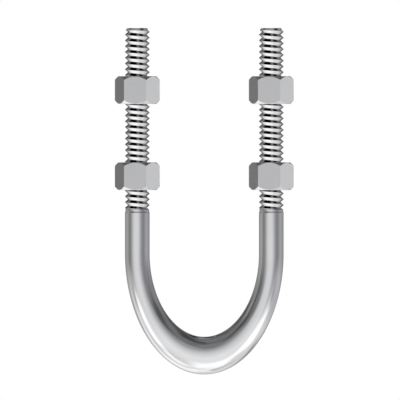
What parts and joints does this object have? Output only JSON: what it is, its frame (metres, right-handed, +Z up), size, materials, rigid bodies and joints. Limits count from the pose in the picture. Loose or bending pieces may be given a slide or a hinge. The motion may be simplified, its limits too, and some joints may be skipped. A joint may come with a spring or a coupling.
{
  "type": "u-bolt",
  "caption": "U-shaped rod with two parallel threaded legs and two hexagon nuts on each leg, for clamping a pipe, bar or cable to a plate.",
  "frame": {"origin": "midway between the two legs, on the plane where the straight legs meet the bow", "axes": "+Z up along the legs towards their threaded ends, +X from the left leg to the right one, +Y towards the back"},
  "size_m": [0.058, 0.0134, 0.1122],
  "materials": {
    "polished_steel": "polished stainless steel",
    "nut_steel": "satin stainless steel"
  },
  "bodies": {
    "u_bolt": {"u_bolt": "polished_steel"},
    "left_lower_nut": {"left_lower_nut": "nut_steel"},
    "left_upper_nut": {"left_upper_nut": "nut_steel"},
    "right_lower_nut": {"right_lower_nut": "nut_steel"},
    "right_upper_nut": {"right_upper_nut": "nut_steel"}
  },
  "joints": [
    {"name": "left_lower_nut_travel", "type": "slide", "parent": "u_bolt", "child": "left_lower_nut", "axis": [0, 0, 1], "range_m": [-0.0055, 0.0092]},
    {"name": "left_upper_nut_travel", "type": "slide", "parent": "u_bolt", "child": "left_upper_nut", "axis": [0, 0, 1], "range_m": [-0.0092, 0.0155]},
    {"name": "right_lower_nut_travel", "type": "slide", "parent": "u_bolt", "child": "right_lower_nut", "axis": [0, 0, 1], "range_m": [-0.0055, 0.0092]},
    {"name": "right_upper_nut_travel", "type": "slide", "parent": "u_bolt", "child": "right_upper_nut", "axis": [0, 0, 1], "range_m": [-0.0092, 0.0155]}
  ]
}
